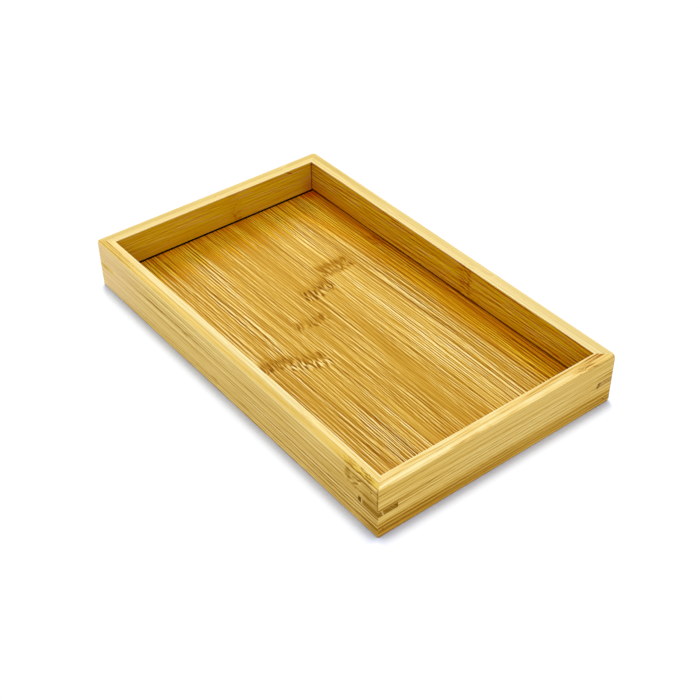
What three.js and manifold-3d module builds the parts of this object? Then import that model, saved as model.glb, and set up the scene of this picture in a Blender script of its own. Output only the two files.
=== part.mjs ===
// A shallow rectangular tray of laminated bamboo, in millimetres, +Z up.
// The origin is the middle of the footprint, on the surface that the tray stands on.
// X runs along the two long sides and Y along the two short ends. The front is at -Y.

import * as THREE from "three";
import { mergeVertices } from "three/addons/utils/BufferGeometryUtils.js";
import Module from "manifold-3d";

// Outside of the tray
const LENGTH = 250;
const WIDTH = 152;
const HEIGHT = 30;

// Walls: an outer layer of two strips, one above the other, glued to an inner layer
const OUTER_LAYER = 3.8;
const INNER_LAYER = 3.7;
const SIDE_SEAM_HEIGHT = 18.4;
const END_SEAM_HEIGHT = 9.6;
const GLUE_LINE = 0.1;

// Rounded edges: the four standing corners, then the edges along each wall
const CORNER_ROUND = 0.7;
const RIM_ROUND = 0.4;
const INNER_RIM_ROUND = 0.4;
const FOOT_ROUND = 0.5;

// Floor: strips glued edge to edge, let into a groove in the inner layer of every wall
const FLOOR_LIFT = 5.6;
const FLOOR_THICKNESS = 4;
const STRIP_WIDTH = 20.8;
const BACK_STRIP_WIDTH = 9.9;
const NARROWEST_STRIP = 3;
const GROOVE_BACK = 0.9;
const FLOOR_PLAY = 0.4;
const SIDE_SLOT = 1;
const END_SLOT = 1.1;

// Corner keys: flat triangles let into a saw cut across each mitre, half-way up the wall
const KEY_THICKNESS = 3.2;
const KEY_SIDE_LEG = 14.4;
const KEY_END_LEG = 11.6;

// How far a cutting shape runs past the faces that it cuts, and the steps in a rounded edge
const OVERCUT = 1;
const ROUND_STEPS = 5;

const WALL = OUTER_LAYER + GLUE_LINE + INNER_LAYER;
const GROOVE_DEPTH = INNER_LAYER - GROOVE_BACK;
const FLOOR_TOP = FLOOR_LIFT + FLOOR_THICKNESS;
const KEY_MIDDLE = HEIGHT / 2;
const QUARTER_TURN = Math.PI / 2;

const wasm = await Module();
wasm.setup();

function solidFrom(geometry) {
  const bare = geometry.clone();
  bare.deleteAttribute("normal");
  bare.deleteAttribute("uv");
  const merged = mergeVertices(bare);
  const vertProperties = new Float32Array(merged.attributes.position.array);
  const triVerts = new Uint32Array(merged.index.array);
  return new wasm.Manifold(new wasm.Mesh({ numProp: 3, vertProperties, triVerts }));
}

function geometryFrom(solid) {
  const { vertProperties, triVerts } = solid.getMesh();
  const indexed = new THREE.BufferGeometry();
  indexed.setAttribute("position", new THREE.BufferAttribute(vertProperties, 3));
  indexed.setIndex(new THREE.BufferAttribute(triVerts, 1));
  const faceted = indexed.toNonIndexed();
  faceted.computeVertexNormals();
  return faceted;
}

// A plan outline raised from one height by a depth.
function upright(outline, from, depth) {
  const settings = { depth, bevelEnabled: false, curveSegments: ROUND_STEPS };
  return new THREE.ExtrudeGeometry(outline, settings).translate(0, 0, from);
}

// A section of the wall, depth from the outer face by height, drawn out along the run of the wall.
function bar(section, run, across) {
  const settings = { depth: run, bevelEnabled: false, curveSegments: ROUND_STEPS };
  const along = new THREE.Vector3(1, 0, 0);
  const inward = new THREE.Vector3(0, 1, 0);
  const up = new THREE.Vector3(0, 0, 1);
  const lie = new THREE.Matrix4().makeBasis(inward, up, along);
  return new THREE.ExtrudeGeometry(section, settings)
    .applyMatrix4(lie)
    .translate(-run / 2, -across / 2, 0);
}

function polygon(points) {
  return new THREE.Shape(points.map(([x, y]) => new THREE.Vector2(x, y)));
}

// Sections of the wall: u is the depth from the outer face, v the height.
function upperStripSection(seamHeight) {
  const bottom = seamHeight + GLUE_LINE / 2;
  const section = new THREE.Shape();
  section.moveTo(0, bottom);
  section.lineTo(OUTER_LAYER, bottom);
  section.lineTo(OUTER_LAYER, HEIGHT);
  section.absarc(RIM_ROUND, HEIGHT - RIM_ROUND, RIM_ROUND, QUARTER_TURN, 2 * QUARTER_TURN, false);
  return section;
}

function lowerStripSection(seamHeight) {
  const top = seamHeight - GLUE_LINE / 2;
  const section = new THREE.Shape();
  section.moveTo(OUTER_LAYER, 0);
  section.lineTo(OUTER_LAYER, top);
  section.lineTo(0, top);
  section.absarc(FOOT_ROUND, FOOT_ROUND, FOOT_ROUND, 2 * QUARTER_TURN, 3 * QUARTER_TURN, false);
  return section;
}

function innerLayerSection(slot) {
  const back = WALL - INNER_LAYER;
  const grooveBack = WALL - GROOVE_DEPTH;
  const grooveLow = FLOOR_LIFT - GLUE_LINE;
  const grooveHigh = FLOOR_TOP + slot;
  const section = new THREE.Shape();
  section.moveTo(back, HEIGHT);
  section.lineTo(back, 0);
  section.lineTo(WALL, 0);
  section.lineTo(WALL, grooveLow);
  section.lineTo(grooveBack, grooveLow);
  section.lineTo(grooveBack, grooveHigh);
  section.lineTo(WALL, grooveHigh);
  section.absarc(WALL - INNER_RIM_ROUND, HEIGHT - INNER_RIM_ROUND, INNER_RIM_ROUND, 0, QUARTER_TURN, false);
  return section;
}

// The tray's footprint with its rounded standing corners, as seen by a wall of this run.
function footprint(run, across) {
  const x = run / 2 - CORNER_ROUND;
  const y = across / 2 - CORNER_ROUND;
  const centres = [[x, -y], [x, y], [-x, y], [-x, -y]];
  const outline = new THREE.Shape();
  centres.forEach(([cx, cy], corner) => {
    const start = (corner - 1) * QUARTER_TURN;
    outline.absarc(cx, cy, CORNER_ROUND, start, start + QUARTER_TURN, false);
  });
  return outline;
}

// The wall's plan between its two mitres, each held back by half a glue line.
function mitredPlan(run, across) {
  const holdBack = (GLUE_LINE / 2) * Math.SQRT2;
  const outerX = run / 2 - holdBack + OVERCUT;
  const innerX = run / 2 - holdBack - WALL - OVERCUT;
  const outerY = -across / 2 - OVERCUT;
  const innerY = -across / 2 + WALL + OVERCUT;
  return polygon([[-outerX, outerY], [outerX, outerY], [innerX, innerY], [-innerX, innerY]]);
}

// The saw cut for a key at one end of a wall: side is -1 or 1 along the run.
function keyCut(wall, side) {
  const { run, across, legAlong, legAcross } = wall;
  const reach = legAlong * legAcross + GLUE_LINE * Math.hypot(legAlong, legAcross);
  const farAlong = (reach + legAlong * OVERCUT) / legAcross;
  const farAcross = (reach + legAcross * OVERCUT) / legAlong;
  const fromCorner = [[-OVERCUT, -OVERCUT], [farAlong, -OVERCUT], [-OVERCUT, farAcross]];
  const plan = polygon(fromCorner.map(([x, y]) => [side * (run / 2 - x), y - across / 2]));
  const height = KEY_THICKNESS + 2 * GLUE_LINE;
  return solidFrom(upright(plan, KEY_MIDDLE - height / 2, height));
}

function wallPiece(wall, section) {
  const { run, across } = wall;
  const mitred = solidFrom(upright(mitredPlan(run, across), -OVERCUT, HEIGHT + 2 * OVERCUT));
  const rounded = solidFrom(upright(footprint(run, across), -OVERCUT, HEIGHT + 2 * OVERCUT));
  const solid = solidFrom(bar(section, run, across))
    .intersect(mitred)
    .intersect(rounded)
    .subtract(keyCut(wall, -1))
    .subtract(keyCut(wall, 1));
  return geometryFrom(solid);
}

// A key in plan with its corner at the origin, its legs along +X and +Y, level about z = 0.
function keyGeometry() {
  const plan = new THREE.Shape();
  plan.moveTo(KEY_SIDE_LEG, 0);
  plan.lineTo(0, KEY_END_LEG);
  plan.absarc(CORNER_ROUND, CORNER_ROUND, CORNER_ROUND, 2 * QUARTER_TURN, 3 * QUARTER_TURN, false);
  return upright(plan, -KEY_THICKNESS / 2, KEY_THICKNESS);
}

// Edges of the floor strips, from the back edge of the floor to its front edge.
function stripEdges(floorWidth) {
  const edges = [floorWidth / 2];
  let edge = floorWidth / 2 - BACK_STRIP_WIDTH;
  while (edge > NARROWEST_STRIP - floorWidth / 2) {
    edges.push(edge);
    edge -= STRIP_WIDTH;
  }
  edges.push(-floorWidth / 2);
  return edges;
}

const finishes = {
  outer: { color: 0xd9b96d, roughness: 0.5, metalness: 0 },
  inner: { color: 0xc08a2c, roughness: 0.5, metalness: 0 },
  floor: { color: 0xd8a648, roughness: 0.45, metalness: 0 },
  key: { color: 0x9c7430, roughness: 0.6, metalness: 0 },
};

function piece(name, geometry, finish) {
  const mesh = new THREE.Mesh(geometry, new THREE.MeshStandardMaterial(finishes[finish]));
  mesh.name = name;
  return mesh;
}

const tray = new THREE.Group();

const side = {
  run: LENGTH,
  across: WIDTH,
  legAlong: KEY_SIDE_LEG,
  legAcross: KEY_END_LEG,
  seamHeight: SIDE_SEAM_HEIGHT,
  slot: SIDE_SLOT,
};
const end = {
  run: WIDTH,
  across: LENGTH,
  legAlong: KEY_END_LEG,
  legAcross: KEY_SIDE_LEG,
  seamHeight: END_SEAM_HEIGHT,
  slot: END_SLOT,
};
const walls = [
  { name: "front_side", wall: side, turn: 0 },
  { name: "right_end", wall: end, turn: QUARTER_TURN },
  { name: "back_side", wall: side, turn: 2 * QUARTER_TURN },
  { name: "left_end", wall: end, turn: -QUARTER_TURN },
];
for (const { name, wall, turn } of walls) {
  const group = new THREE.Group();
  group.add(piece(`${name}_upper_strip`, wallPiece(wall, upperStripSection(wall.seamHeight)), "outer"));
  group.add(piece(`${name}_lower_strip`, wallPiece(wall, lowerStripSection(wall.seamHeight)), "outer"));
  group.add(piece(`${name}_inner_layer`, wallPiece(wall, innerLayerSection(wall.slot)), "inner"));
  group.rotation.z = turn;
  tray.add(group);
}

// Each key is the same triangle, turned over where its corner is the other hand.
const corners = [
  { name: "front_left", x: -LENGTH / 2, y: -WIDTH / 2, turn: [0, 0, 0] },
  { name: "front_right", x: LENGTH / 2, y: -WIDTH / 2, turn: [0, Math.PI, 0] },
  { name: "back_right", x: LENGTH / 2, y: WIDTH / 2, turn: [0, 0, Math.PI] },
  { name: "back_left", x: -LENGTH / 2, y: WIDTH / 2, turn: [Math.PI, 0, 0] },
];
for (const { name, x, y, turn } of corners) {
  const key = piece(`corner_key_${name}`, keyGeometry(), "key");
  key.position.set(x, y, KEY_MIDDLE);
  key.rotation.set(...turn);
  tray.add(key);
}

const floorInset = WALL - GROOVE_DEPTH + FLOOR_PLAY;
const floorLength = LENGTH - 2 * floorInset;
const edges = stripEdges(WIDTH - 2 * floorInset);
for (let i = 1; i < edges.length; i += 1) {
  const backGap = i > 1 ? GLUE_LINE / 2 : 0;
  const frontGap = i < edges.length - 1 ? GLUE_LINE / 2 : 0;
  const back = edges[i - 1] - backGap;
  const front = edges[i] + frontGap;
  const strip = new THREE.BoxGeometry(floorLength, back - front, FLOOR_THICKNESS);
  const mesh = piece(`floor_strip_${i}`, strip, "floor");
  mesh.position.set(0, (back + front) / 2, FLOOR_LIFT + FLOOR_THICKNESS / 2);
  tray.add(mesh);
}

export default tray;
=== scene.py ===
import math

import bmesh
import bpy
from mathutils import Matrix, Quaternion, Vector


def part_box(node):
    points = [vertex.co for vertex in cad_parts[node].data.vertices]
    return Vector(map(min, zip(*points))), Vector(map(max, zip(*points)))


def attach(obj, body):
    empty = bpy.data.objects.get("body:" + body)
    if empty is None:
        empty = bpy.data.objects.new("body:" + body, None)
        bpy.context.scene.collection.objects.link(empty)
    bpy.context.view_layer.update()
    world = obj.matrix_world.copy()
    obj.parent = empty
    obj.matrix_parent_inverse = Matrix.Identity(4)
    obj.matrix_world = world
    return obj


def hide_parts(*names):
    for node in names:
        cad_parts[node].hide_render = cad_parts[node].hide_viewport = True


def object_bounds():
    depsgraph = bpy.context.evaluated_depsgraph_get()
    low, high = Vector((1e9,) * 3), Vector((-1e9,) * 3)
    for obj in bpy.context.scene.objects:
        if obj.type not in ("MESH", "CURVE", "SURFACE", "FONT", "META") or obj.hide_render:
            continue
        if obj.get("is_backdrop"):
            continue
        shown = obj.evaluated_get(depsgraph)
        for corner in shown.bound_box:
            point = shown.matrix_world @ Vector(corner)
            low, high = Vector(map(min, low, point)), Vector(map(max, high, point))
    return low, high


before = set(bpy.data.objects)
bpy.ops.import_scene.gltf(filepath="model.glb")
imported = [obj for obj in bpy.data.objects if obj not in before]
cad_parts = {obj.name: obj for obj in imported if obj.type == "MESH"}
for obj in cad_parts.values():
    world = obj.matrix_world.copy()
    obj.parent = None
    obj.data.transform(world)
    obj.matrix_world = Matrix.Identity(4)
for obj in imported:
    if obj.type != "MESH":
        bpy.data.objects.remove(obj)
cad_low, cad_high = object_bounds()

# Floor: eight strips of flat-pressed bamboo, glued edge to edge into one panel and sanded flush.
# Each strip comes from another stalk, so each has its own tone, and most show a node, the knotty
# band across the fibres. The panel lies in a groove all round. The walls' shadow is painted onto it
# as deeper amber, strong by the left and back walls and faint by the right, with painted shade close
# to the left and back walls and in the slot under the walls.

MM = 0.001


class Shade:
    """A socket of a material's nodes, so that what changes over a surface is written as a sum."""

    def __init__(self, tree, socket=None):
        self.tree = tree
        self.socket = socket

    def node(self, kind, settings, sockets, output=0):
        """Any node: its settings come first, then the values or links of its sockets."""
        made = self.tree.nodes.new(kind)
        for setting, value in settings.items():
            if setting == "stops":
                self.set_stops(made.color_ramp.elements, value)
            else:
                setattr(made, setting, value)
        for name, value in sockets.items():
            if isinstance(value, Shade):
                self.tree.links.new(value.socket, made.inputs[name])
            else:
                made.inputs[name].default_value = value
        return Shade(self.tree, made.outputs[output] if made.outputs else None)

    @staticmethod
    def set_stops(elements, stops):
        """Puts these stops in the place of the two that a colour ramp starts with."""
        elements.remove(elements[1])
        elements[0].position, elements[0].color = stops[0]
        for place, colour in stops[1:]:
            elements.new(place).color = colour

    def maths(self, operation, *values):
        return self.node("ShaderNodeMath", {"operation": operation}, dict(enumerate(values)))

    def __add__(self, other):
        return self.maths("ADD", self, other)

    def __sub__(self, other):
        return self.maths("SUBTRACT", self, other)

    def __rsub__(self, other):
        return self.maths("SUBTRACT", other, self)

    def __mul__(self, other):
        return self.maths("MULTIPLY", self, other)

    def __truediv__(self, other):
        return self.maths("DIVIDE", self, other)

    def __abs__(self):
        return self.maths("ABSOLUTE", self)

    __radd__ = __add__
    __rmul__ = __mul__

    def least(self, other):
        return self.maths("MINIMUM", self, other)

    def most(self, other):
        return self.maths("MAXIMUM", self, other)

    def between(self, low, high):
        """0 at low, 1 at high, with a smooth slope from one to the other."""
        limits = {"Value": self, "From Min": low, "From Max": high}
        return self.node("ShaderNodeMapRange", {"interpolation_type": "SMOOTHSTEP"}, limits)

    def inside(self, low, high, soft):
        """1 from low to high and 0 outside them, with slopes of this length."""
        return self.between(low - soft, low) * self.between(high + soft, high)

    def dyed(self, stops):
        """The colour that stands for this tone, from pairs of a tone and its colour."""
        return self.node("ShaderNodeValToRGB", {"stops": stops}, {"Fac": self})

    def mix(self, other, amount, blend="MIX"):
        """This colour with an amount of the other colour laid over it."""
        settings = {"data_type": "RGBA", "blend_type": blend}
        return self.node("ShaderNodeMix", settings, {0: amount, 6: self, 7: other}, 2)


def paint(red, green, blue):
    """A colour as it is seen on a screen, 0 to 255, as the shader takes it."""
    def linear(seen):
        share = seen / 255
        return share / 12.92 if share <= 0.04045 else ((share + 0.055) / 1.055) ** 2.4
    return (linear(red), linear(green), linear(blue), 1.0)


class Bamboo:
    """A lacquered bamboo finish with its fibres along X or Y. Lengths on it are in millimetres.

    Its tone is 0 for the darkest knot, 0.5 for plain wood and 1 for the palest fibre.
    """

    plain = 0.5
    seed_step = 5.37

    def __init__(self, name, along, seed, tone, inward=1):
        self.material = bpy.data.materials.new(name)
        self.material.use_nodes = True
        tree = self.material.node_tree
        tree.nodes.clear()
        metres = Shade(tree).node("ShaderNodeTexCoord", {}, {}, "Object")
        place = metres.node("ShaderNodeVectorMath", {"operation": "SCALE"}, {0: metres, "Scale": 1 / MM})
        self.x, self.y, self.z = [place.node("ShaderNodeSeparateXYZ", {}, {0: place}, axis) for axis in "XYZ"]
        self.along, side = (self.x, self.y) if along == "X" else (self.y, self.x)
        self.across = side * inward + self.z
        self.seed = seed
        self.tone = tone
        self.sway(length=120, width=24, reach=0.5)

    def noise(self, length, width, shift=0):
        """Soft noise from 0 to 1, drawn out along the fibres to this length and width."""
        sockets = {"X": self.along / length, "Y": (self.across + shift) / width, "Z": self.seed}
        place = self.x.node("ShaderNodeCombineXYZ", {}, sockets)
        return place.node("ShaderNodeTexNoise", {}, {"Vector": place, "Scale": 1.0, "Detail": 0.0})

    def streaks(self, length, width, edge, shift=0):
        """Streaks along the fibres, this long and wide, from -1 to 1. A small edge makes them crisp."""
        self.seed += self.seed_step
        return self.noise(length, width, shift).between(0.5 - edge, 0.5 + edge) * 2 - 1

    def fibres(self, length, width, edge, shift=0):
        """Fine lines of this length and width that stand out from their neighbours, from -1 to 1."""
        self.seed += self.seed_step
        beside = self.noise(length, width, shift + 1.6 * width)
        return (self.noise(length, width, shift) - beside).between(-edge, edge) * 2 - 1

    def sway(self, length, width, reach):
        """Bends the fibres aside by up to this reach, in waves of this length and width."""
        self.across = self.across + self.streaks(length, width, edge=0.3) * reach

    def grow(self, reach, width, fine, broad):
        """The plain wood between two nodes: fine fibres of this reach and width, in broader bands."""
        calm = self.streaks(length=reach * 1.5, width=8, edge=0.2) * 0.35 + 0.9
        fibres = self.fibres(length=reach, width=width, edge=0.14) * 0.3
        dashes = self.fibres(length=6, width=width, edge=0.2) * 0.1
        bundles = self.streaks(length=reach * 1.5, width=width * 4, edge=0.2) * 0.04
        bands = self.streaks(length=reach * 3, width=width * 12, edge=0.25) * 0.04
        self.tone = self.tone + (fibres + dashes) * calm * fine + (bundles + bands) * broad

    def tie(self, line, half, haze, comb, bright=0.6, dash=(6, 0.8)):
        """A node of the stalk at a line along the fibres: a brown haze, combed by short wavy dashes."""
        jagged = self.streaks(length=300, width=0.8, edge=0.2) * 0.9
        ragged = self.streaks(length=300, width=4, edge=0.25) * 1.1
        away = (self.along - line + jagged + ragged) / half
        banks = abs(away).between(0.1, 0.7) * 0.25 + 0.75
        brown = away.between(-1.4, -0.7) * away.between(1.3, 0.7) * banks
        combed = away.between(-2.6, 0.0) * away.between(1.2, 0.6)
        wave = self.streaks(length=6, width=3, edge=0.3) * 0.6
        dashes = self.fibres(*dash, edge=0.14, shift=wave)
        dark = dashes.between(0.0, -0.9)
        pale = dashes.between(0.2, 0.9) * away.between(-0.6, 0.3)
        self.tone = self.tone + (self.plain - self.tone) * combed * 0.5
        self.tone = self.tone - brown * haze + combed * (pale * bright - dark) * comb

    def sand(self, where, tone, contrast, new_tone):
        """Sands the wood from its tone to a new one where this is 1, with more or less contrast."""
        sanded = (self.tone - tone) * contrast + new_tone
        self.tone = self.tone + (sanded - self.tone) * where

    def mark(self, spots, height):
        """Small marks on a wall, each with its place along and up it, its size and how much darker it is."""
        ragged = self.streaks(length=3, width=0.7, edge=0.3) * 0.3
        for spot in spots:
            beyond = self.along - spot["along"]
            above = height - spot["up"] - beyond * spot.get("slope", 0)
            share = beyond / (spot["length"] / 2)
            rise = above / (spot["height"] / 2)
            away = share * share + rise * rise + ragged
            self.tone = self.tone - away.between(1.3, 0.3) * spot["depth"]

    def lacquer(self, colour, roughness):
        """Closes the material under a thin satin lacquer that follows the fibres."""
        fine = self.streaks(length=30, width=0.45, edge=0.25)
        relief = {"Height": self.tone + fine * 0.15, "Strength": 0.4, "Distance": 0.07 * MM}
        normal = self.x.node("ShaderNodeBump", {}, relief)
        gloss = (self.plain - self.tone) * 0.2 + fine * 0.03 + roughness
        sockets = {"Base Color": colour, "Roughness": gloss, "Normal": normal, "Specular IOR Level": 0.03}
        shader = self.x.node("ShaderNodeBsdfPrincipled", {}, sockets)
        self.x.node("ShaderNodeOutputMaterial", {}, {"Surface": shader})
        return self.material


def loft(name, rings):
    """A closed piece through level rings with like counts of points, the lowest ring first."""
    places = {}
    faces = [rings[0], rings[-1]]
    for low, high in zip(rings, rings[1:]):
        for i in range(len(low)):
            faces.append([low[i - 1], low[i], high[i], high[i - 1]])
    corners = []
    for face in faces:
        found = [places.setdefault(tuple(round(c, 8) for c in point), len(places)) for point in face]
        once = list(dict.fromkeys(found))
        if len(once) > 2:
            corners.append(once)
    mesh = bpy.data.meshes.new(name)
    mesh.from_pydata(list(places), [], corners)
    shell = bmesh.new()
    shell.from_mesh(mesh)
    bmesh.ops.recalc_face_normals(shell, faces=shell.faces)
    shell.to_mesh(mesh)
    shell.free()
    mesh.shade_smooth()
    mesh.set_sharp_from_angle(angle=math.radians(35))
    piece = bpy.data.objects.new(name, mesh)
    bpy.context.scene.collection.objects.link(piece)
    flat = piece.modifiers.new("flat_faces_stay_flat", "WEIGHTED_NORMAL")
    flat.keep_sharp = True
    return piece


def dress(piece, node, material):
    """A finished piece that stands for its CAD node."""
    piece.data.materials.append(material)
    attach(piece, "root")
    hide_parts(node)


STRIP_EASE = 0.06 * MM
SEAM = 0.05 * MM
SATIN = 0.58
FLOOR_SEED_STEP = 13.7
FLOOR_TONES = (
    (0.0, paint(137, 78, 2)),
    (0.2, paint(178, 121, 9)),
    (0.4, paint(201, 150, 37)),
    (0.5, paint(210, 162, 50)),
    (0.6, paint(220, 175, 66)),
    (0.8, paint(244, 213, 116)),
    (1.0, paint(254, 237, 166)),
)
# The floor's colours where the walls' shadow is painted on it.
SHADOWED_FLOOR_TONES = (
    (0.0, paint(145, 74, 0)),
    (0.2, paint(190, 115, 0)),
    (0.4, paint(213, 142, 1)),
    (0.5, paint(223, 154, 2)),
    (0.6, paint(230, 167, 6)),
    (0.8, paint(246, 200, 30)),
    (1.0, paint(252, 220, 60)),
)
# Tints for the painted shade close to the walls and in the back-left corner.
POOLED_SHADE_TINT = (0.93, 0.66, 0.3, 1.0)
CORNER_SHADE_TINT = (1.0, 0.5, 0.3, 1.0)
# How far from a wall the floor's painted shadow and painted shade start, and where they are full.
LEFT_WALL_SHADOW = (36, 18)
BACK_WALL_SHADOW = (22, 11)
RIGHT_WALL_SHADE = (26, 4)
POOLED_SHADE_REACH = (9, 0)
# The open slot under the walls is painted with its shade: dark red along the back, and black from here to the
# left end.
SLOT_SHADE_RED = paint(114, 28, 6)
SLOT_SHADE_BLACK = paint(20, 11, 8)
SLOT_RED_ENDS = -92
SLOT_BLACK_STARTS = -106
strip_tones = {1: 0.42, 2: 0.485, 3: 0.575, 4: 0.47, 5: 0.49, 6: 0.52, 7: 0.515, 8: 0.51}
strip_contrasts = {1: 1.15, 2: 1.35, 3: 1.1, 4: 0.9, 5: 0.8, 6: 1.3, 7: 1.05, 8: 1.0}
# The nodes: where each lies, half its breadth, its lean, how brown it is, and its dark and pale dashes.
strip_nodes = {
    1: {"x": -51, "half": 5.0, "lean": 0.0, "haze": 0.14, "comb": 0.2, "bright": 0.3},
    3: {"x": -44.0, "half": 5.4, "lean": 0.0, "haze": 0.24, "comb": 0.2, "bright": 1.4},
    4: {"x": -32.0, "half": 4.6, "lean": -0.1, "haze": 0.08, "comb": 0.46, "bright": 0.6},
    5: {"x": -10.8, "half": 3.4, "lean": 0.0, "haze": 0.06, "comb": 0.32, "bright": 0.4},
    6: {"x": 15.0, "half": 6.0, "lean": 0.4, "haze": 0.06, "comb": 0.42, "bright": 1.1},
    7: {"x": 5.6, "half": 4.2, "lean": 0.1, "haze": 0.16, "comb": 0.3, "bright": 0.6},
    8: {"x": 40, "half": 5.0, "lean": 0.0, "haze": 0.1, "comb": 0.3, "bright": 0.6},
}
inside_x = -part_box("left_end_inner_layer")[1].x / MM
inside_y = -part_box("front_side_inner_layer")[1].y / MM
for number, tone in strip_tones.items():
    node = f"floor_strip_{number}"
    low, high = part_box(node)
    levels = [(STRIP_EASE, low.z), (0, low.z + STRIP_EASE), (0, high.z - STRIP_EASE), (STRIP_EASE, high.z)]
    rings = []
    for ease, z in levels:
        left, right = low.x + ease, high.x - ease
        front, back = low.y - SEAM + ease, high.y + SEAM - ease
        rings.append([(left, front, z), (right, front, z), (right, back, z), (left, back, z)])
    finish = Bamboo(f"floor_bamboo_{number}", "X", FLOOR_SEED_STEP * number, tone)
    by_left_end = finish.x.between(-85, -105)
    to_the_right = finish.x.between(-80, 30)
    crisp = (by_left_end * 0.3 + to_the_right * 0.1 + 0.8) * strip_contrasts[number]
    knot = strip_nodes.get(number)
    if knot:
        middle = (low.y + high.y) / 2 / MM
        line = (finish.y - middle) * knot["lean"] + knot["x"]
        near = abs(finish.x - line).between(4 * knot["half"], knot["half"])
        finish.sway(length=16, width=7, reach=near * 0.4)
    finish.grow(reach=50, width=0.5, fine=crisp, broad=1.0)
    if knot:
        finish.tie(line, knot["half"], knot["haze"], knot["comb"], knot["bright"])
    from_left = finish.x + inside_x
    from_right = inside_x - finish.x
    from_back = inside_y - finish.y
    # The walls' shadow painted onto the floor as amber, with a ragged edge: full by the left and back walls,
    # faint by the right one.
    drawn = finish.streaks(length=120, width=1.4, edge=0.25) * 7
    widened = finish.x.between(-50, -95) * 8
    wall_shadow = (from_left + drawn).between(*LEFT_WALL_SHADOW)
    wall_shadow = wall_shadow.most((from_back - widened).between(*BACK_WALL_SHADOW))
    wall_shadow = wall_shadow.most(from_right.between(*RIGHT_WALL_SHADE) * 0.35)
    # Painted shade pooled close to the left and back walls, and deepest in their corner.
    pooled_shade = from_left.between(*POOLED_SHADE_REACH).most(from_back.between(*POOLED_SHADE_REACH))
    corner_shade = from_left.between(11, 3) * from_back.between(14, 4)
    colour = finish.tone.dyed(FLOOR_TONES).mix(finish.tone.dyed(SHADOWED_FLOOR_TONES), wall_shadow)
    colour = colour.mix(POOLED_SHADE_TINT, pooled_shade, "MULTIPLY")
    colour = colour.mix(CORNER_SHADE_TINT, corner_shade, "MULTIPLY")
    # Painted shade in the slot under the walls, on the floor's hidden edges: black at the ends, dark red
    # along the sides and black near the left end.
    in_end_slot = abs(finish.x).between(inside_x - 0.5, inside_x - 0.2)
    in_side_slot = abs(finish.y).between(inside_y, inside_y + 0.4)
    in_black_slot = in_end_slot.most(in_side_slot * finish.x.between(SLOT_RED_ENDS, SLOT_BLACK_STARTS))
    colour = colour.mix(SLOT_SHADE_RED, in_side_slot)
    colour = colour.mix(SLOT_SHADE_BLACK, in_black_slot)
    dress(loft(f"{node}_panel", rings), node, finish.lacquer(colour, SATIN))

# Inner layer of each wall: one bamboo bar with a sawn groove that holds the floor, mitred at both
# ends and glued to the outer layer. Its top edge is sanded pale, with a painted highlight along its
# inner rounding. Its inside face is a saturated amber, partly the bamboo's own tone and partly painted
# shade, and its open groove is painted dark as shade.

tray_length, tray_width, tray_height = cad_high - cad_low
rim_z = tray_height / MM
GLUE = 0.01 * MM
MITRE_GAP = GLUE / math.sqrt(2)
ROUND_STEPS = 6
INNER_RIM_ROUND = 0.4 * MM
FLOOR_PLAY = 0.4 * MM
SIDE_SLOT = 1.0 * MM
END_SLOT = 1.1 * MM
key_low, key_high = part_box("corner_key_front_left")
key_side_leg = key_high.x - key_low.x
key_end_leg = key_high.y - key_low.y
slot_low = key_low.z - GLUE / 2
slot_high = key_high.z + GLUE / 2
side_wall = {"along": "X", "run": tray_length, "across": tray_width, "slot": SIDE_SLOT}
side_wall["legs"] = (key_side_leg, key_end_leg)
end_wall = {"along": "Y", "run": tray_width, "across": tray_length, "slot": END_SLOT}
end_wall["legs"] = (key_end_leg, key_side_leg)
walls = {
    "front_side": {"turn": 0, "corners": ("front_left", "front_right"), **side_wall},
    "right_end": {"turn": 1, "corners": ("front_right", "back_right"), **end_wall},
    "back_side": {"turn": 2, "corners": ("back_right", "back_left"), **side_wall},
    "left_end": {"turn": 3, "corners": ("back_left", "front_left"), **end_wall},
}


def depths(wall, node):
    """How deep a wall's node starts and stops, from the wall's outer face, and its bottom and top."""
    low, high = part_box(node)
    turn = walls[wall]["turn"]
    near = [low.y - cad_low.y, cad_high.x - high.x, cad_high.y - high.y, low.x - cad_low.x][turn]
    far = [high.y - cad_low.y, cad_high.x - low.x, cad_high.y - low.y, high.x - cad_low.x][turn]
    return near, far, low.z, high.z


def key_line(wall, depth):
    """How far from the corner the saw cut for the key reaches, at a depth in the wall."""
    along, across = walls[wall]["legs"]
    return (along + GLUE) * (1 - depth / (across + GLUE))


def ring(wall, first, last, z):
    """A level ring of a wall's piece from the points of its two ends: distance from the corner, depth."""
    turn, run, across = (walls[wall][key] for key in ("turn", "run", "across"))
    plan = [(s - run / 2, d - across / 2) for s, d in reversed(first)]
    plan += [(run / 2 - s, d - across / 2) for s, d in last]
    turned = [[(x, y), (-y, x), (-x, -y), (y, -x)][turn] for x, y in plan]
    return [(x, y, z) for x, y in turned]


def quarter_round(radius):
    """The steps over a rounded edge: how far each lies in from the one face and from the other."""
    angles = [math.radians(90) * step / ROUND_STEPS for step in range(ROUND_STEPS + 1)]
    return [(radius * (1 - math.cos(angle)), radius * (1 - math.sin(angle))) for angle in angles]


def inner_end(wall, near, far, cut):
    """The mitred end of an inner layer, cut back to the key's long edge where cut is true."""
    along, across = walls[wall]["legs"]
    crossing = (along + GLUE) * (across + GLUE) / (along + across + 2 * GLUE)
    tip = (crossing + MITRE_GAP, crossing)
    start = (key_line(wall, near), near)
    corner = ((start[0] + tip[0]) / 2, (start[1] + tip[1]) / 2) if cut else (near + MITRE_GAP, near)
    return [start, corner, tip, (max(far, crossing) + MITRE_GAP, far)]


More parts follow.
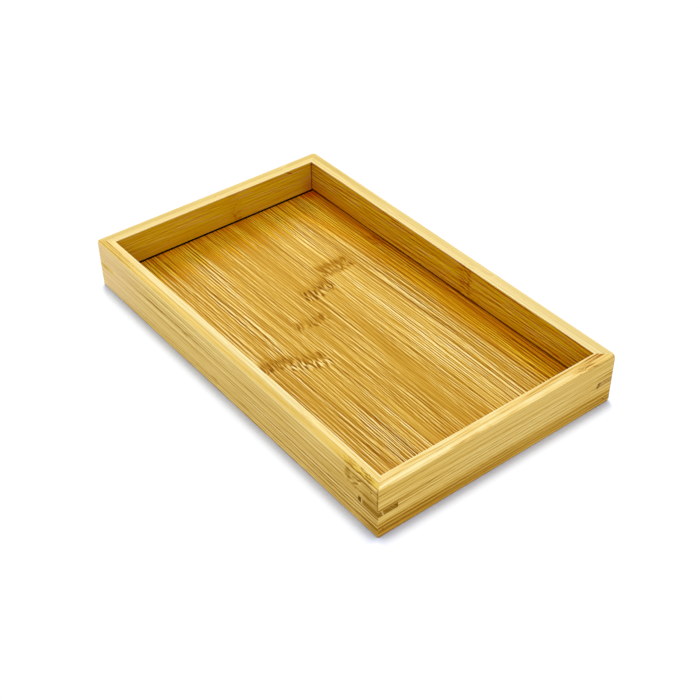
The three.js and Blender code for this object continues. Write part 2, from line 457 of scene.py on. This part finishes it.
def wall_bamboo(wall, name, seed, tone):
    """A wall's bamboo, and how deep a place on it lies from the wall's outer face."""
    plan = walls[wall]
    inward = -1 if wall in ("right_end", "back_side") else 1
    finish = Bamboo(name, plan["along"], seed, tone, inward)
    through = finish.y if plan["along"] == "X" else finish.x
    return finish, plan["across"] / MM / 2 - abs(through)


def back_rim_fade(finish):
    """How much paler the rim of the back side is, less at its left end and more to the right."""
    return (finish.x.between(-120, 60) - 0.4) * 0.2


PALE_RIM_TONES = (
    (0.0, paint(170, 118, 44)),
    (0.2, paint(219, 190, 104)),
    (0.4, paint(235, 210, 135)),
    (0.5, paint(241, 216, 144)),
    (0.6, paint(245, 221, 154)),
    (0.8, paint(249, 232, 172)),
    (1.0, paint(252, 240, 186)),
)
GOLD_RIM_TONES = (
    (0.0, paint(176, 118, 30)),
    (0.2, paint(226, 180, 84)),
    (0.4, paint(246, 210, 122)),
    (0.5, paint(250, 218, 135)),
    (0.6, paint(252, 224, 146)),
    (0.8, paint(254, 234, 165)),
    (1.0, paint(255, 242, 184)),
)
# The inside faces' saturated amber: partly the bamboo's own tone, partly painted shade.
AMBER_TONES = (
    (0.0, paint(164, 84, 2)),
    (0.2, paint(190, 126, 1)),
    (0.4, paint(203, 154, 2)),
    (0.5, paint(207, 162, 3)),
    (0.6, paint(212, 170, 6)),
    (0.8, paint(222, 184, 24)),
    (1.0, paint(234, 200, 70)),
)
PALE_FIBRE_AND_SHEEN = paint(222, 176, 112)
LOW_SHADE_ORANGE = (1.0, 0.84, 0.5, 1.0)
CORNER_SHADE_RED = paint(190, 88, 26)
CORNER_LINE = paint(120, 50, 44)
INNER_SEED = 31.0
INNER_SEED_STEP = 7.3
NODE_HALF = 4.5
inner_looks = {
    "front_side": {"tone": 0.5, "fine": 0.9, "rim": 0.7, "contrast": 0.7},
    "right_end": {"tone": 0.5, "fine": 0.9, "rim": 0.51, "contrast": 0.65},
    "back_side": {"tone": 0.43, "fine": 0.95, "rim": 0.46, "contrast": 0.3},
    "left_end": {"tone": 0.54, "fine": 0.6, "rim": 0.46, "contrast": 0.4},
}
inner_nodes = {
    "front_side": {"at": 67, "haze": -0.05, "comb": 0.3},
    "right_end": {"at": -14, "haze": 0.06, "comb": 0.15},
    "back_side": {"at": 23, "haze": 0.1, "comb": 0.4},
    "left_end": {"at": 11.5, "haze": 0.04, "comb": 0.1},
}
# Marks on a wall: where each lies along it and up it, its size, how much darker it is, and its slope.
inner_marks = {
    "front_side": [
        {"along": -117, "up": 30, "length": 74, "height": 3.0, "depth": 0.27},
        {"along": 105, "up": 30, "length": 90, "height": 3.0, "depth": 0.1},
    ],
    "right_end": [{"along": -8, "up": 30, "length": 20, "height": 3.0, "depth": -0.17}],
    "back_side": [{"along": 25.4, "up": 20, "length": 2.2, "height": 22, "depth": 0.16}],
    "left_end": [
        {"along": 51.6, "up": 28.3, "length": 5.0, "height": 1.2, "depth": 0.5, "slope": -0.5},
        {"along": -35.4, "up": 16.1, "length": 1.3, "height": 0.9, "depth": 0.4},
        {"along": 11.0, "up": 13.5, "length": 2.4, "height": 4.5, "depth": 0.3, "slope": -0.6},
        {"along": 14.5, "up": 16.2, "length": 8.0, "height": 0.9, "depth": 0.25},
        {"along": 14.0, "up": 11.6, "length": 4.0, "height": 1.4, "depth": 0.4},
        {"along": 9.6, "up": 16.4, "length": 1.8, "height": 1.6, "depth": 0.2},
        {"along": 10.6, "up": 19.2, "length": 2.2, "height": 3.2, "depth": 0.16, "slope": 0.5},
        {"along": 12.2, "up": 21.8, "length": 1.6, "height": 1.6, "depth": 0.14},
    ],
}
strip_low, strip_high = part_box("floor_strip_1")
groove_back = strip_low.x - cad_low.x - FLOOR_PLAY
groove_low = strip_low.z - GLUE
for wall, plan in walls.items():
    node = f"{wall}_inner_layer"
    near, far, bottom, top = depths(wall, node)
    groove_high = strip_high.z + plan["slot"]
    levels = [(far, bottom, False), (far, groove_low, False), (groove_back, groove_low, False)]
    levels += [(groove_back, groove_high, False), (far, groove_high, False)]
    levels += [(far, slot_low, False), (far, slot_low, True), (far, slot_high, True), (far, slot_high, False)]
    levels += [(far - back, top - drop, False) for back, drop in quarter_round(INNER_RIM_ROUND)]
    rings = []
    for depth, z, cut in levels:
        end = inner_end(wall, near, depth, cut)
        rings.append(ring(wall, end, end, z))
    seed = INNER_SEED + INNER_SEED_STEP * plan["turn"]
    look = inner_looks[wall]
    finish, depth = wall_bamboo(wall, f"{wall}_inner_bamboo", seed, look["tone"])
    finish.grow(reach=35, width=0.65, fine=look["fine"], broad=1.0)
    knot = inner_nodes[wall]
    finish.tie(knot["at"], NODE_HALF, knot["haze"], knot["comb"])
    finish.mark(inner_marks[wall], finish.z)
    # A darker band under the rim; lighter low down, where painted light lifts the shade near the floor.
    under_rim = finish.z.inside(rim_z - 1.6, rim_z - 0.6, 0.8)
    low_down = finish.z.between(15, 11)
    finish.tone = finish.tone - under_rim * 0.06 + low_down * 0.06
    rim = finish.z.between(rim_z - 0.4, rim_z - 0.28)
    highlit_inner_edge = depth.between(far / MM - 1.1, far / MM - 0.5)
    finish.sand(rim, look["tone"], look["contrast"], look["rim"])
    # Painted highlight: a bright line along the rim's rounded inner edge.
    finish.tone = finish.tone + rim * highlit_inner_edge * 0.25
    if wall == "right_end":
        darker = finish.y.between(5, 25) * 0.18 + finish.y.between(45, 65) * 0.12
        finish.tone = finish.tone + rim * finish.streaks(length=22, width=1.8, edge=0.25) * 0.14
        finish.tone = finish.tone - rim * darker
    if wall == "back_side":
        left_end_of_face = finish.x.between(-85, -110) * (1 - rim)
        finish.tone = finish.tone + rim * back_rim_fade(finish) - left_end_of_face * 0.1
    # Pale fibre dashes, with painted sheen: the silvery glints along the fibres.
    dashes = finish.streaks(length=22, width=0.7, edge=0.25).between(0.75, 1.0)
    colour = finish.tone.dyed(AMBER_TONES).mix(PALE_FIBRE_AND_SHEEN, dashes * 0.35)
    # Painted shade: deeper orange low down, where the inside face meets the floor.
    colour = colour.mix(LOW_SHADE_ORANGE, finish.z.between(20, 11) * 0.8, "MULTIPLY")
    if wall == "left_end":
        # Painted shade: deep red over the floor by the back corner, and a dark line along the mitre.
        over_floor = finish.z.between(groove_low / MM, groove_high / MM)
        by_back = finish.y.between(57, 68) * finish.z.between(25, 14)
        in_mitre = finish.y.between(inside_y - 1.2, inside_y - 0.6)
        colour = colour.mix(CORNER_SHADE_RED, over_floor * by_back * 0.6)
        colour = colour.mix(CORNER_LINE, over_floor * in_mitre * 0.8)
    if wall == "back_side":
        # Painted shade: deeper orange low on the back side towards the back-left corner.
        by_left = finish.x.between(-30, -110) * finish.z.between(18, 11)
        colour = colour.mix(LOW_SHADE_ORANGE, by_left, "MULTIPLY")
    sanded = finish.tone.dyed(GOLD_RIM_TONES if wall == "right_end" else PALE_RIM_TONES)
    if wall == "front_side":
        gilt = finish.x.between(50, 75) + finish.x.between(-80, -105) * 0.5
        sanded = sanded.mix(finish.tone.dyed(GOLD_RIM_TONES), gilt)
    colour = colour.mix(sanded, rim)
    # Painted shade in the open groove below the wall: black, and dark red along most of the back side.
    in_groove = depth.between(far / MM - 0.1, far / MM - 0.4)
    in_groove = in_groove * finish.z.inside(groove_low / MM, groove_high / MM - 0.05, 0.1)
    colour = colour.mix(SLOT_SHADE_BLACK, in_groove)
    if wall == "back_side":
        colour = colour.mix(SLOT_SHADE_RED, in_groove * finish.x.between(SLOT_BLACK_STARTS, SLOT_RED_ENDS))
    dress(loft(f"{wall}_inner_bar", rings), node, finish.lacquer(colour, SATIN))

# Outer layer of each wall: two bamboo strips, one above the other, glued to the inner layer with a
# mitre at each end. Rim, foot and standing corners are rounded over by sanding, the corners' tips
# most of all and each by its own amount. A saw cut across each mitre takes the key.

CORNER_ROUND = 0.7 * MM
TIP_REACH = 2.4 * MM
TIP_STEPS = 4
tip_rounds = {"front_left": 0.9 * MM, "front_right": 0.2 * MM, "back_right": 1.9 * MM, "back_left": 1.5 * MM}
RIM_ROUND = 0.4 * MM
FOOT_ROUND = 0.5 * MM


def outer_end(wall, near, far, z, cut, tip_round):
    """The mitred and rounded end of an outer strip, cut back to the key's long edge where cut is true."""
    start = (key_line(wall, near), near)
    stop = (key_line(wall, far), far)
    tip = max(0, 1 - min(z, tray_height - z) / TIP_REACH)
    centre = CORNER_ROUND + tip_round * tip ** 2
    radius = centre - near
    end = []
    for step in range(ROUND_STEPS + 1):
        angle = math.radians(45) * step / ROUND_STEPS
        along = centre - radius * math.sin(angle) + MITRE_GAP * step / ROUND_STEPS
        end.append((along, centre - radius * math.cos(angle)))
    end.append((far + MITRE_GAP, far))
    if cut:
        shares = [(i + 1) / (len(end) + 1) for i in range(len(end))]
        end = [(start[0] + (stop[0] - start[0]) * t, start[1] + (stop[1] - start[1]) * t) for t in shares]
    return [start, *end, stop]


def strip_levels(wall, node):
    """Levels of an outer strip, lowest first: its outer depth, its height, and whether the key cuts it."""
    far, bottom, top = depths(wall, node)[1:]
    levels = []
    if bottom < FOOT_ROUND:
        levels += [(back, rise, False) for rise, back in quarter_round(FOOT_ROUND)]
        for step in range(TIP_STEPS):
            levels.append((0, FOOT_ROUND + (TIP_REACH - FOOT_ROUND) * (step + 1) / TIP_STEPS, False))
    else:
        levels.append((0, bottom - SEAM, False))
    if bottom < slot_low and slot_high < top:
        levels += [(0, slot_low, False), (0, slot_low, True), (0, slot_high, True), (0, slot_high, False)]
    if top > tray_height - RIM_ROUND:
        for step in range(TIP_STEPS):
            levels.append((0, top - TIP_REACH + (TIP_REACH - RIM_ROUND) * step / TIP_STEPS, False))
        levels += [(back, top - drop, False) for back, drop in quarter_round(RIM_ROUND)]
    else:
        levels.append((0, top + SEAM, False))
    return far, levels


OUTER_TONES = (
    (0.0, paint(158, 108, 16)),
    (0.2, paint(199, 157, 62)),
    (0.4, paint(224, 188, 98)),
    (0.5, paint(233, 199, 112)),
    (0.6, paint(240, 208, 126)),
    (0.8, paint(248, 221, 146)),
    (1.0, paint(255, 233, 156)),
)
FOOT_AMBER = (0.92, 0.82, 0.46, 1.0)
END_WARMTH = (1.0, 0.95, 0.74, 1.0)
RIM_WARMTH = (1.0, 0.97, 0.58, 1.0)
PALE_END = paint(244, 216, 172)
MITRE_STAIN = paint(140, 92, 26)
WORN_AND_HIGHLIGHT_CONTRAST = 0.3
OUTER_SEED = 71.0
OUTER_SEED_STEP = 9.1
outer_looks = {
    "front_side": {"upper": 0.6, "lower": 0.54, "fine": 0.74, "worn_and_highlight": 1.0, "rim": 0.62, "contrast": 0.7},
    "right_end": {"upper": 0.62, "lower": 0.38, "fine": 0.68, "worn_and_highlight": 0.57, "rim": 0.64, "contrast": 1.4},
    "back_side": {"upper": 0.5, "lower": 0.44, "fine": 0.7, "worn_and_highlight": 0.5, "rim": 0.34, "contrast": 0.25},
    "left_end": {"upper": 0.5, "lower": 0.3, "fine": 0.5, "worn_and_highlight": 0.5, "rim": 0.31, "contrast": 0.25},
}
foot_heights = {"front_side": 2, "right_end": 5, "back_side": 2, "left_end": 5}
rim_tones = {"right_end": GOLD_RIM_TONES, "back_side": PALE_RIM_TONES, "left_end": PALE_RIM_TONES}
outer_nodes = {
    "front_side": {"at": 111, "half": 9.0, "haze": 0.06, "comb": 0.34, "dash": (4, 0.4), "above": 29.5},
    "right_end": {"at": 55.5, "half": 6.5, "haze": 0.05, "comb": 0.34, "dash": (4, 0.55), "above": 29.5},
    "back_side": {"at": 37, "half": 5.0, "haze": 0.05, "comb": 0.14, "dash": (6, 0.8), "above": 0},
    "left_end": {"at": 50, "half": 5.0, "haze": 0.03, "comb": 0.08, "dash": (6, 0.8), "above": 0},
}
# Here the way up goes on over the rim, so that a mark at 32 lies 2 mm in from the rim's outer edge.
outer_marks = {
    "front_side_upper_strip": [
        {"along": 102.8, "up": 24.8, "length": 4.6, "height": 8.0, "depth": 0.22},
        {"along": 104.6, "up": 23.0, "length": 5.0, "height": 1.6, "depth": 0.16, "slope": 0.5},
        {"along": 108.2, "up": 22.2, "length": 6.0, "height": 1.8, "depth": 0.34, "slope": 0.6},
        {"along": 108.0, "up": 25.6, "length": 5.0, "height": 2.2, "depth": 0.2, "slope": 0.4},
        {"along": 111.2, "up": 26.2, "length": 3.6, "height": 1.3, "depth": 0.36, "slope": 0.5},
        {"along": 111.4, "up": 24.6, "length": 2.6, "height": 1.5, "depth": -0.24, "slope": 0.5},
        {"along": 101.2, "up": 20.6, "length": 4.0, "height": 1.4, "depth": -0.12},
        {"along": 105.5, "up": 27.4, "length": 8.0, "height": 1.4, "depth": 0.16},
        {"along": 115.5, "up": 27.8, "length": 18, "height": 1.8, "depth": 0.2},
        {"along": 102.8, "up": 30.9, "length": 6.5, "height": 2.2, "depth": 0.1},
        {"along": 115.6, "up": 31.4, "length": 8.5, "height": 2.8, "depth": 0.16, "slope": 0.1},
        {"along": 112.6, "up": 33.0, "length": 4.5, "height": 1.1, "depth": 0.16, "slope": -0.3},
        {"along": 108.0, "up": 31.8, "length": 5.0, "height": 3.0, "depth": -0.16},
        {"along": 118.5, "up": 20.6, "length": 12, "height": 2.8, "depth": 0.14},
        {"along": 112.4, "up": 20.2, "length": 1.6, "height": 0.9, "depth": 0.25},
        {"along": 108.6, "up": 19.8, "length": 1.4, "height": 0.9, "depth": 0.25},
        {"along": 119.8, "up": 25.2, "length": 1.5, "height": 1.0, "depth": 0.5},
        {"along": -120, "up": 31.6, "length": 64, "height": 8.0, "depth": 0.2},
        {"along": -121.8, "up": 26, "length": 2.0, "height": 0.6, "depth": 0.3, "slope": 0.7},
        {"along": 20, "up": 20.2, "length": 250, "height": 3.2, "depth": 0.11},
        {"along": -35.5, "up": 18.9, "length": 7.5, "height": 1.2, "depth": 0.25},
    ],
    "front_side_lower_strip": [
        {"along": 0, "up": 18.2, "length": 290, "height": 0.9, "depth": -0.14},
        {"along": -9, "up": 6.0, "length": 7, "height": 1.2, "depth": 0.25},
        {"along": 17.8, "up": 6.0, "length": 9, "height": 1.2, "depth": 0.25},
        {"along": 30, "up": 6.0, "length": 290, "height": 4.0, "depth": 0.09},
        {"along": -30, "up": 9.3, "length": 220, "height": 1.8, "depth": -0.1},
    ],
    "right_end_upper_strip": [
        {"along": 3, "up": 10.0, "length": 90, "height": 0.8, "depth": 0.12},
        {"along": -4, "up": 19.7, "length": 62, "height": 0.8, "depth": 0.12},
        {"along": -44, "up": 22.2, "length": 11, "height": 0.8, "depth": 0.14},
        {"along": -57, "up": 31.6, "length": 50, "height": 3.6, "depth": -0.36},
        {"along": -28, "up": 31.4, "length": 11, "height": 4.0, "depth": 0.14},
        {"along": -17.5, "up": 31.4, "length": 6, "height": 4.0, "depth": 0.12},
        {"along": -8.5, "up": 31.8, "length": 3, "height": 4.5, "depth": 0.14},
        {"along": 68, "up": 32, "length": 34, "height": 7.0, "depth": 0.27},
    ],
    "right_end_lower_strip": [
        {"along": -2, "up": 9.2, "length": 76, "height": 1.3, "depth": 0.2},
        {"along": -13, "up": 7.7, "length": 52, "height": 0.8, "depth": 0.14},
        {"along": 71.2, "up": 3.5, "length": 2.2, "height": 0.7, "depth": 0.35, "slope": -0.7},
        {"along": -73.2, "up": 4.6, "length": 0.9, "height": 2.0, "depth": 0.3},
    ],
}
for number, (wall, look) in enumerate(outer_looks.items()):
    plan = walls[wall]
    knot = outer_nodes[wall]
    tips = [tip_rounds[corner] for corner in plan["corners"]]
    half_run = plan["run"] / MM / 2
    for part in ("upper", "lower"):
        node = f"{wall}_{part}_strip"
        far, levels = strip_levels(wall, node)
        rings = []
        for near, z, cut in levels:
            first, last = [outer_end(wall, near, far, z, cut, tip) for tip in tips]
            rings.append(ring(wall, first, last, z))
        seed = OUTER_SEED + 2 * OUTER_SEED_STEP * number + OUTER_SEED_STEP * (part == "lower")
        finish, depth = wall_bamboo(wall, f"{node}_bamboo", seed, look[part])
        finish.grow(reach=110, width=0.65, fine=look["fine"], broad=1.8)
        if part == "upper":
            # A band along the top of the face and over the rounded edge takes its own sanded tone; on the
            # front side that tone is much paler, a painted highlight on the edge.
            worn_and_highlight = finish.z.between(rim_z - 1.8, rim_z - 0.4)
            rim = finish.z.between(rim_z - 0.14, rim_z - 0.03)
            finish.sand(worn_and_highlight, look["upper"], WORN_AND_HIGHLIGHT_CONTRAST, look["worn_and_highlight"])
            finish.sand(rim, look["worn_and_highlight"], look["contrast"] / WORN_AND_HIGHLIGHT_CONTRAST, look["rim"])
            shows = finish.z.between(knot["above"], knot["above"] + 0.4)
            haze, comb = shows * knot["haze"], shows * knot["comb"]
            finish.tie(knot["at"], knot["half"], haze, comb, dash=knot["dash"])
        finish.mark(outer_marks.get(node, []), finish.z + depth)
        finish.tone = finish.tone + finish.streaks(length=30, width=6, edge=0.3) * 0.04
        face = finish.z.between(rim_z - 0.2, rim_z - 0.8)
        if wall == "front_side":
            paler = finish.x.between(100, -110) * 0.17 - 0.1
            darker = finish.x.between(60, 110) * 0.07 + finish.x.between(108, 122) * 0.16
            finish.tone = finish.tone + face * (paler - darker)
        if wall == "right_end":
            paler = finish.y.inside(10, 40, 20) * 0.04
            darker = finish.y.between(-10, -60) * 0.08
            finish.tone = finish.tone + face * (paler - darker)
        if wall == "back_side" and part == "upper":
            finish.tone = finish.tone + rim * back_rim_fade(finish)
        if wall == "front_side" and part == "upper":
            rim_streak = depth.inside(0.55, 0.85, 0.3)
            finish.tone = finish.tone - rim * rim_streak * 0.14
        if wall == "right_end" and part == "upper":
            under_rim = finish.z.inside(rim_z - 7, rim_z - 0.5, 3)
            finish.sand(under_rim, look[part], 0.7, look[part])
            finish.tone = finish.tone + rim * finish.streaks(length=16, width=2.2, edge=0.25) * 0.14
        if plan["along"] == "Y":
            finish.tone = finish.tone - abs(finish.y).between(40, half_run) * 0.05
        if plan["along"] == "Y" and part == "lower":
            upwards = finish.z.between(3, 10) - 0.5
            finish.tone = (finish.tone - look[part]) * 0.75 + look[part] + upwards * 0.1
        colour = finish.tone.dyed(OUTER_TONES)
        if plan["along"] == "Y":
            colour = colour.mix(END_WARMTH, finish.y.between(0, -55) * 0.5 + 0.5, "MULTIPLY")
        if wall == "front_side":
            colour = colour.mix(PALE_END, face * finish.x.between(-60, -115) * 0.45)
        if part == "lower":
            foot_height = foot_heights[wall]
            uneven = finish.streaks(length=30, width=7, edge=0.3) * foot_height * 0.4
            foot = (finish.z + uneven).between(foot_height, 0)
            if plan["along"] == "Y":
                foot = foot * 0.5 + 0.5
            colour = colour.mix(FOOT_AMBER, foot, "MULTIPLY")
        elif wall in rim_tones:
            colour = colour.mix(finish.tone.dyed(rim_tones[wall]), rim)
        else:
            colour = colour.mix(RIM_WARMTH, rim * (finish.x.between(70, 110) * 0.67 + 0.33), "MULTIPLY")
        broken = finish.streaks(length=9, width=1.8, edge=0.2) * 0.25 + 0.6
        if wall == "front_side":
            by_mitre = finish.x.between(half_run - 1.6, half_run - 0.6)
            over_key = finish.z.inside(18, rim_z - 0.8, 1.5)
            colour = colour.mix(MITRE_STAIN, by_mitre * over_key * broken)
        if wall == "right_end":
            by_mitre = finish.y.between(half_run - 1.0, half_run - 0.3)
            under_rim = finish.z.between(rim_z - 0.4, rim_z - 1.4)
            colour = colour.mix(MITRE_STAIN, by_mitre * under_rim * broken)
        dress(loft(f"{node}_bar", rings), node, finish.lacquer(colour, SATIN))

# Corner keys: flat triangles of brown bamboo glued into a saw cut across each mitre, then trimmed
# flush with both faces. The fibres run along the long sides, so the ends show dotted end grain.

KEY_TONES = (
    (0.0, paint(104, 66, 4)),
    (0.5, paint(166, 120, 24)),
    (1.0, paint(228, 192, 112)),
)
KEY_SATIN = 0.62
KEY_SEED = 117.0
KEY_SEED_STEP = 6.7
END_GRAIN = 0.5
key_tones = {"front_left": 0.5, "front_right": 0.48, "back_right": 0.78, "back_left": 0.5}
for number, (corner, tone) in enumerate(key_tones.items()):
    node = f"corner_key_{corner}"
    low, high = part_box(node)
    plan = [(key_side_leg, 0), (0, key_end_leg), *quarter_round(CORNER_ROUND)]
    to_right = 1 if "left" in corner else -1
    to_back = 1 if "front" in corner else -1
    corner_x = low.x if "left" in corner else high.x
    corner_y = low.y if "front" in corner else high.y
    flat = [(corner_x + to_right * x, corner_y + to_back * y) for x, y in plan]
    rings = [[(x, y, z) for x, y in flat] for z in (low.z, high.z)]
    finish = Bamboo(f"{node}_bamboo", "X", KEY_SEED + KEY_SEED_STEP * number, tone)
    finish.grow(reach=20, width=0.5, fine=0.3, broad=0.6)
    along_side = abs(finish.x - corner_x / MM)
    along_end = abs(finish.y - corner_y / MM)
    height = finish.z - (low.z + high.z) / 2 / MM
    on_end = along_side.between(0.8, 0.5)
    on_side = 1 - on_end
    grid = {"X": finish.y / END_GRAIN, "Y": finish.z / END_GRAIN, "Z": finish.seed}
    place = finish.x.node("ShaderNodeCombineXYZ", {}, grid)
    grain = place.node("ShaderNodeTexNoise", {}, {"Vector": place, "Scale": 1.0, "Detail": 0.0})
    finish.tone = finish.tone - grain.between(0.5, 0.65) * on_end * 0.1
    tones = KEY_TONES
    if corner == "front_left":
        tones = OUTER_TONES
        smudge = along_side.inside(4, 8, 2) * height.inside(-0.9, 0.6, 0.7)
        finish.tone = finish.tone - smudge * 0.14
    elif corner == "back_right":
        slanted = along_end + height * 0.55
        dark_line = slanted.inside(9.6, 10.6, 0.5) * on_end
        pale_tip = slanted.between(10.8, 11.2) * on_end
        dark_top = height.between(1.0, 1.5)
        finish.tone = finish.tone - dark_line * 0.5 + pale_tip * 0.2 - dark_top * 0.3
    else:
        slanted = along_end + height * 0.35
        pale_lines = along_side.inside(11.5, 12.1, 0.3) * on_side + slanted.inside(2.3, 2.9, 0.25) * on_end
        dark_tip = along_side.between(12.3, 12.8) * on_side
        brown_tip = along_end.between(9.6, 10.4) * on_end
        finish.tone = finish.tone + pale_lines * 0.5 - dark_tip * 0.4 - brown_tip * 0.12
    colour = finish.tone.dyed(tones)
    dress(loft(f"{node}_wedge", rings), node, finish.lacquer(colour, KEY_SATIN))

# The table: a plain white sheet of matt paper under the tray. Close by it takes the tray's soft shadow,
# partly from the lamps and partly painted into its colour, and further out it is as white as the room.


def background_rays(shade):
    """1 for a ray that shows the background: straight, mirrored or through glass."""
    kinds = ("Is Camera Ray", "Is Glossy Ray", "Is Transmission Ray")
    straight, mirrored, through = [shade.node("ShaderNodeLightPath", {}, {}, kind) for kind in kinds]
    return straight.most(mirrored).most(through)


TABLE_REACH = 4.0
TABLE_WHITE = (0.86, 0.86, 0.86, 1.0)
PAPER_GLOW = 1.02
CONTACT_REACH = 9 * MM
SHADOW_START = 1.5 * MM
SHADOW_REACH = 8.2 * MM
LIT_WHITE = (1.27, 1.42, 1.75, 1.0)
mesh = bpy.data.meshes.new("table")
square = [(-TABLE_REACH, -TABLE_REACH, 0), (TABLE_REACH, -TABLE_REACH, 0)]
square += [(TABLE_REACH, TABLE_REACH, 0), (-TABLE_REACH, TABLE_REACH, 0)]
mesh.from_pydata(square, [], [(0, 1, 2, 3)])
table = bpy.data.objects.new("table", mesh)
bpy.context.scene.collection.objects.link(table)
table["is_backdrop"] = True
sheet = bpy.data.materials.new("white_sheet")
sheet.use_nodes = True
sheet.node_tree.nodes.clear()
ray = Shade(sheet.node_tree)
seen = background_rays(ray)
# Painted contact shadow: the sheet's colour darkens with ambient occlusion near the tray, and its blue-heavy
# white cancels the warm light bounced off the tray.
contact = {"Distance": CONTACT_REACH, "Color": LIT_WHITE}
near = ray.node("ShaderNodeAmbientOcclusion", {"samples": 8}, contact)
white = {0: seen, 6: TABLE_WHITE, 7: near}
colour = ray.node("ShaderNodeMix", {"data_type": "RGBA"}, white, 2)
matt = {"Base Color": colour, "Roughness": 1.0, "Specular IOR Level": 0.0}
shaded = ray.node("ShaderNodeBsdfPrincipled", {}, matt)
place = ray.node("ShaderNodeTexCoord", {}, {}, "Object")
x, y = [ray.node("ShaderNodeSeparateXYZ", {}, {0: place}, axis) for axis in "XY"]
from_ends = (abs(x) - cad_high.x).most(0)
from_sides = (abs(y) - cad_high.y).most(0)
from_tray = from_ends + from_sides + from_ends.least(from_sides)
plain = ray.node("ShaderNodeEmission", {}, {"Color": (1, 1, 1, 1), "Strength": PAPER_GLOW})
beyond = seen * from_tray.between(SHADOW_START, SHADOW_REACH)
surface = ray.node("ShaderNodeMixShader", {}, {0: beyond, 1: shaded, 2: plain})
ray.node("ShaderNodeOutputMaterial", {}, {"Surface": surface})
mesh.materials.append(sheet)

# Studio: a softbox behind the tray on the left, a wide weak one beside the camera, a pale room all
# round, and a camera above the front right corner.

ROOM_LIGHT = 0.66
world = bpy.data.worlds.new("pale_room")
bpy.context.scene.world = world
world.use_nodes = True
world.node_tree.nodes.clear()
room = Shade(world.node_tree)
strength = background_rays(room) * (1 - ROOM_LIGHT) + ROOM_LIGHT
light = room.node("ShaderNodeBackground", {}, {"Color": (1, 1, 1, 1), "Strength": strength})
room.node("ShaderNodeOutputWorld", {}, {"Surface": light})


def softbox(name, place, size, power):
    """A square lamp that faces the middle of the tray."""
    lamp = bpy.data.lights.new(name, "AREA")
    lamp.shape = "SQUARE"
    lamp.size = size
    lamp.energy = power
    box = bpy.data.objects.new(name, lamp)
    bpy.context.scene.collection.objects.link(box)
    box.location = place
    box.rotation_mode = "QUATERNION"
    box.rotation_quaternion = (-Vector(place)).to_track_quat("-Z", "Y")


softbox("softbox_back_left", place=(-0.80, 0.46, 0.61), size=0.55, power=7.0)
softbox("softbox_by_camera", place=(0.9, -0.9, 0.8), size=1.0, power=3.7)

CAMERA_PLACE = Vector((0.4263, -0.32445, 0.43219))
CAMERA_AIM = Vector((0.0108, -0.0026, 0.0))
CAMERA_ROLL = math.radians(-0.535)
CAMERA_LENS = 65.133
SENSOR_WIDTH = 36
camera = bpy.data.cameras.new("camera")
camera.lens = CAMERA_LENS
camera.sensor_width = SENSOR_WIDTH
eye = bpy.data.objects.new("camera", camera)
bpy.context.scene.collection.objects.link(eye)
eye.location = CAMERA_PLACE
eye.rotation_mode = "QUATERNION"
aim = (CAMERA_AIM - CAMERA_PLACE).to_track_quat("-Z", "Y")
eye.rotation_quaternion = aim @ Quaternion((0, 0, 1), CAMERA_ROLL)
bpy.context.scene.camera = eye
bpy.context.scene.view_settings.view_transform = "Standard"

low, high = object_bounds()
